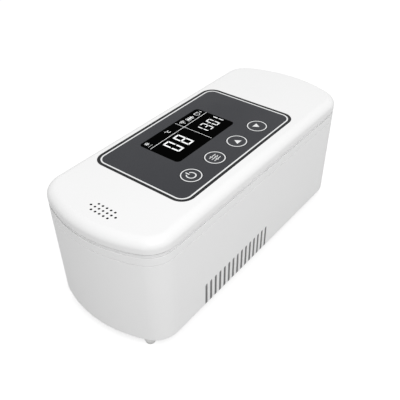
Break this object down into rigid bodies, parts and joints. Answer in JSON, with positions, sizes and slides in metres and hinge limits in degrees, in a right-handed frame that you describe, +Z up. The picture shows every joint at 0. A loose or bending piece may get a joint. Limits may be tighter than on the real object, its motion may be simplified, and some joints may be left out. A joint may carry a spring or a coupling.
{
  "type": "insulin cooling case",
  "caption": "Portable powered cooling case for insulin pens: insulated chamber under a hinged lid with display panel, press keys, side vents and a fan.",
  "frame": {"origin": "on the table plane under the middle of the case", "axes": "+X along the case towards the end away from the sound holes, -Y towards the user and the keys, +Y towards the lid's hinge, +Z up"},
  "size_m": [0.212, 0.087, 0.0808],
  "materials": {
    "white_shell": "smooth white ABS, satin gloss",
    "inner_white": "off-white moulded ABS",
    "panel_film": "dark grey printed film with a white frame line",
    "key_film": "dark grey film over round key caps with white printed rings",
    "display_glass": "black tinted acrylic window",
    "black_plastic": "black glass-filled nylon",
    "grey_rubber": "soft grey rubber",
    "white_foam": "closed-cell white foam",
    "dark_foam": "soft dark grey foam",
    "aluminium": "plain aluminium",
    "steel": "plain steel",
    "circuit_board": "green solder mask",
    "ceramic": "white alumina",
    "cell_wrap": "blue shrink wrap",
    "bronze": "sintered bronze"
  },
  "bodies": {
    "base": {"base_magnet_left": "steel", "base_magnet_right": "steel", "battery_holder": "black_plastic", "case_screw_front_left": "steel", "case_screw_front_right": "steel", "case_screw_rear_left": "steel", "case_screw_rear_right": "steel", "cell_front": "cell_wrap", "cell_rear": "cell_wrap", "cold_box": "aluminium", "control_board": "circuit_board", "cooling_tile": "ceramic", "fan_bearing": "bronze", "fan_frame": "black_plastic", "foot_front_left": "grey_rubber", "foot_front_right": "grey_rubber", "foot_rear_left": "grey_rubber", "foot_rear_right": "grey_rubber", "heat_sink": "aluminium", "hinge_pin_left": "steel", "hinge_pin_right": "steel", "insulation": "white_foam", "lower_shell": "white_shell", "pen_tray": "dark_foam", "supply_inlet": "black_plastic", "temperature_sensor": "black_plastic", "top_frame": "white_shell"},
    "lid": {"lid_cover": "white_shell", "lid_panel": "panel_film", "display_window": "display_glass", "display_module": "black_plastic", "display_board": "circuit_board", "sounder": "black_plastic", "lid_liner": "inner_white", "lid_foam": "white_foam", "lid_gasket": "grey_rubber", "lid_magnet_left": "steel", "lid_magnet_right": "steel", "switch_power": "black_plastic", "switch_set": "black_plastic", "switch_up": "black_plastic", "switch_down": "black_plastic"},
    "fan": {"fan_rotor": "black_plastic"},
    "key_power": {"key_power": "key_film"},
    "key_set": {"key_set": "key_film"},
    "key_up": {"key_up": "key_film"},
    "key_down": {"key_down": "key_film"}
  },
  "joints": [
    {"name": "lid_hinge", "type": "hinge", "parent": "base", "child": "lid", "pos_m": [0, 0.0409, 0.0688], "axis": [-1, 0, 0], "range_deg": [0, 95]},
    {"name": "key_power_press", "type": "slide", "parent": "lid", "child": "key_power", "axis": [0, 0, -1], "range_m": [0, 0.0004], "stiffness_N_per_m": 3000},
    {"name": "key_set_press", "type": "slide", "parent": "lid", "child": "key_set", "axis": [0, 0, -1], "range_m": [0, 0.0004], "stiffness_N_per_m": 3000},
    {"name": "key_up_press", "type": "slide", "parent": "lid", "child": "key_up", "axis": [0, 0, -1], "range_m": [0, 0.0004], "stiffness_N_per_m": 3000},
    {"name": "key_down_press", "type": "slide", "parent": "lid", "child": "key_down", "axis": [0, 0, -1], "range_m": [0, 0.0004], "stiffness_N_per_m": 3000},
    {"name": "fan_spin", "type": "hinge", "parent": "base", "child": "fan", "pos_m": [-0.02529, 0, 0.0125], "axis": [0, 0, 1], "continuous": true}
  ]
}
